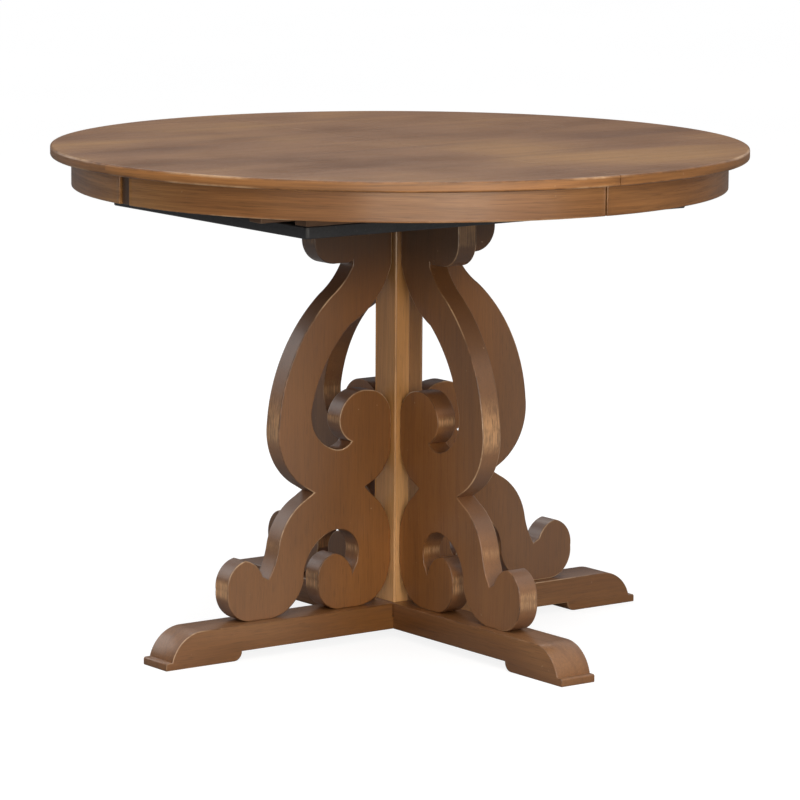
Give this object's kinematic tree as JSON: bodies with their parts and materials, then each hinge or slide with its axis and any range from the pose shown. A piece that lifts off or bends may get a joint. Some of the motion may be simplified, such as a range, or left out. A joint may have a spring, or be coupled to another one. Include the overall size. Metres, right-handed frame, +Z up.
{
  "type": "round extension pedestal table",
  "caption": "Round dining table on a four-bracket scroll pedestal, with half tops that slide apart to take a leaf.",
  "frame": {"origin": "on the floor under the middle of the closed top", "axes": "+Z up; +X along the slides, towards the back half top, so the seam between the halves lies along Y"},
  "size_m": [1.0668, 1.0658, 0.762],
  "materials": {
    "stained_top": "brown stained veneer under satin lacquer, worn edges",
    "stained_frame": "brown stained hardwood under satin lacquer, rubbed lighter on its edges",
    "stained_apron": "brown stained bent veneer under satin lacquer",
    "slide_wood": "brown stained hardwood slides, matt",
    "black_plate": "board under satin black paint",
    "screw_steel": "zinc plated",
    "latch_steel": "zinc plated, pressed",
    "pin_brass": "turned"
  },
  "bodies": {
    "pedestal": {"centre_post": "stained_frame", "bracket_front": "stained_frame", "bracket_back": "stained_frame", "bracket_left": "stained_frame", "bracket_right": "stained_frame", "beam_front_back": "stained_frame", "beam_left_right": "stained_frame", "mounting_plate": "black_plate", "guide_rail_left": "slide_wood", "guide_rail_right": "slide_wood", "stop_bar_front": "slide_wood", "stop_bar_back": "slide_wood", "plate_screw_front_inner": "screw_steel", "plate_screw_front_outer": "screw_steel", "plate_screw_back_inner": "screw_steel", "plate_screw_back_outer": "screw_steel", "plate_screw_left_inner": "screw_steel", "plate_screw_left_outer": "screw_steel", "plate_screw_right_inner": "screw_steel", "plate_screw_right_outer": "screw_steel", "foot_screw_front": "screw_steel", "foot_screw_back": "screw_steel", "foot_screw_left": "screw_steel", "foot_screw_right": "screw_steel", "rail_screw_left_front": "screw_steel", "rail_screw_left_middle": "screw_steel", "rail_screw_left_back": "screw_steel", "rail_screw_right_front": "screw_steel", "rail_screw_right_middle": "screw_steel", "rail_screw_right_back": "screw_steel", "post_bolt_top": "screw_steel", "post_bolt_foot": "screw_steel", "post_washer_top": "screw_steel", "post_washer_foot": "screw_steel"},
    "front_half": {"tabletop_front": "stained_top", "apron_front_left": "stained_apron", "apron_front_right": "stained_apron", "apron_splice_front": "stained_apron", "slider_front_left": "slide_wood", "slider_front_right": "slide_wood", "cross_bar_front": "slide_wood", "alignment_pin_left": "pin_brass", "alignment_pin_middle": "pin_brass", "alignment_pin_right": "pin_brass", "latch_base_left": "latch_steel", "latch_base_right": "latch_steel"},
    "back_half": {"tabletop_back": "stained_top", "apron_back_left": "stained_apron", "apron_back_right": "stained_apron", "apron_splice_back": "stained_apron", "slider_back_left": "slide_wood", "slider_back_right": "slide_wood", "cross_bar_back": "slide_wood", "latch_keeper_left": "latch_steel", "latch_keeper_right": "latch_steel"},
    "latch_lever_left_body": {"latch_lever_left": "latch_steel"},
    "latch_lever_right_body": {"latch_lever_right": "latch_steel"}
  },
  "joints": [
    {"name": "front_half_slide", "type": "slide", "parent": "pedestal", "child": "front_half", "axis": [-1, 0, 0], "range_m": [0, 0.2032]},
    {"name": "back_half_slide", "type": "slide", "parent": "pedestal", "child": "back_half", "axis": [1, 0, 0], "range_m": [0, 0.2032]},
    {"name": "latch_left_swing", "type": "hinge", "parent": "front_half", "child": "latch_lever_left_body", "pos_m": [-0.03, 0.37, 0.7417], "axis": [0, 0, -1], "range_deg": [0, 90]},
    {"name": "latch_right_swing", "type": "hinge", "parent": "front_half", "child": "latch_lever_right_body", "pos_m": [-0.03, -0.37, 0.7417], "axis": [0, 0, 1], "range_deg": [0, 90]}
  ]
}
